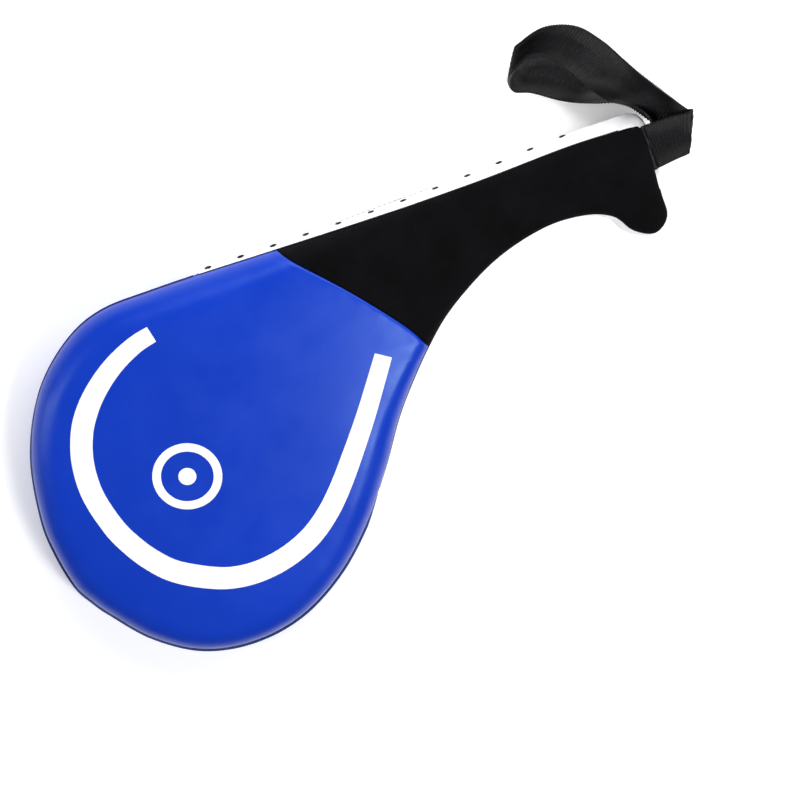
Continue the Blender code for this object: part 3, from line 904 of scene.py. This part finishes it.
def add_stitch(bm, here, after):
    """One stitch: a short rounded thread lying between two needle holes."""
    along = (after - here) * STITCH_SHARE
    made = bmesh.ops.create_icosphere(bm, subdivisions=1, radius=1.0)
    across = THREAD_RADIUS * MM
    size = Matrix.Diagonal((along.length / 2, across, across, 1))
    turn = along.to_track_quat("X", "Z").to_matrix().to_4x4()
    place = Matrix.Translation(here + along / 2) @ turn @ size
    bmesh.ops.transform(bm, matrix=place, verts=made["verts"])


make_gusset()
make_vent_shade_sheet()
make_eyelets()
make_seam_shade_lines()
make_gusset_stitches()

# ---------------------------------------------------------------- the wrist strap


def make_webbing(name, lines):
    """Ribbed webbing along lines across it, in even steps so that its ribs are even."""
    edges = spline(np.array(lines).reshape(-1, 6), WEBBING_STEP)
    middle = (edges[:, :3] + edges[:, 3:]) / 2
    run = np.concatenate(([0], np.cumsum(np.linalg.norm(np.diff(middle, axis=0), axis=1))))
    steps = np.arange(0, run[-1], RIB_PITCH / RIB_SAMPLES)
    edges = np.stack([np.interp(steps, run, values) for values in edges.T], axis=1)
    outer, inner = edges[:, None, :3], edges[:, None, 3:]
    across = np.array(WEBBING_COLUMNS)
    share = (across[:, None] + 1) / 2
    rows = outer * (1 - share) + inner * share
    phase = (steps[:, None] / RIB_PITCH + across * WEBBING_HALF_WIDTH * RIB_SLANT) * 2 * math.pi
    rounding = np.sqrt(1 - across**2 * WEBBING_ROUNDING)
    thickness = WEBBING_THICKNESS * (WEBBING_EDGE_SHARE + (1 - WEBBING_EDGE_SHARE) * rounding)
    return strip(name, rows * MM, (thickness + RIB_DEPTH * 2 * np.sin(phase)) * MM)


strap = make_webbing("wrist_webbing", STRAP_LINES)
finish_piece(strap, "webbing")
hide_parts("wrist_strap")
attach(strap, "wrist_loop")
strap_end = make_webbing("webbing_end", STRAP_END_LINES)
finish_piece(strap_end, "webbing")
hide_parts("strap_tab")
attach(strap_end, "handle")
finish_piece(frame["nodes"]["handle_core"], "board")

# ---------------------------------------------------------------- floor, light and camera

CAMERA_PLACE = Vector((-0.21981, -0.24852, 1.04771))
CAMERA_RIGHT = Vector((-0.787282, 0.610614, 0.085479))
CAMERA_UP = Vector((-0.607186, -0.743722, -0.279588))
CAMERA_BACK = CAMERA_RIGHT.cross(CAMERA_UP).normalized()
LENS = 85.0
FLOOR_HALF = 3.0
FLOOR_GAP = 0.0003
FLOOR_GLOW = 0.25
LIGHTS_AIM = Vector((-0.08, 0.0, MID * MM))
# Each light's name, its distances right of, above and in front of its aim as the camera sees
# them, its size, and its power in watts.
LIGHTS = (
    ("key", 0.2, 0.5, 0.55, (0.9, 0.7), 7.7),
    ("right", 0.37, -0.4, 0.6, (0.16, 0.26), 3.9),
    ("left", -1.0, -0.25, 0.6, (0.3, 0.9), 4.0),
)
WORLD_COLOUR = (0.95, 0.97, 1.0, 1.0)
WORLD_STRENGTH = 0.19


def make_camera():
    data = bpy.data.cameras.new("camera")
    data.lens = LENS
    made = bpy.data.objects.new("camera", data)
    made.location = CAMERA_PLACE
    made.rotation_euler = Matrix((CAMERA_RIGHT, CAMERA_UP, CAMERA_BACK)).transposed().to_euler()
    bpy.context.scene.collection.objects.link(made)
    bpy.context.scene.camera = made


def make_floor():
    bm = bmesh.new()
    bmesh.ops.create_grid(bm, x_segments=2, y_segments=2, size=FLOOR_HALF)
    floor = new_object("floor", bm)
    floor.location.z = CAD_BOX[0].z - FLOOR_GAP
    made, shader = new_material("pale_floor", 0.9)
    tree = made.node_tree
    tones = ramp(tree, object_noise(tree, 3.0), grey(0.93), grey(0.95))
    tree.links.new(tones, shader.inputs["Base Color"])
    shader.inputs["Emission Color"].default_value = grey(1.0)
    shader.inputs["Emission Strength"].default_value = FLOOR_GLOW
    floor.data.materials.append(made)


def make_light(name, right, up, back, size, power):
    """A soft box, turned towards the paddle."""
    data = bpy.data.lights.new(name, "AREA")
    data.shape = "RECTANGLE"
    data.size, data.size_y = size
    data.energy = power
    made = bpy.data.objects.new(name, data)
    made.location = LIGHTS_AIM + CAMERA_RIGHT * right + CAMERA_UP * up + CAMERA_BACK * back
    made.rotation_euler = (made.location - LIGHTS_AIM).to_track_quat("Z", "Y").to_euler()
    bpy.context.scene.collection.objects.link(made)


def make_world():
    world = bpy.data.worlds.new("studio")
    world.use_nodes = True
    background = world.node_tree.nodes["Background"]
    background.inputs["Color"].default_value = WORLD_COLOUR
    background.inputs["Strength"].default_value = WORLD_STRENGTH
    bpy.context.scene.world = world


make_camera()
make_floor()
for light in LIGHTS:
    make_light(*light)
make_world()
bpy.context.scene.view_settings.view_transform = "Standard"
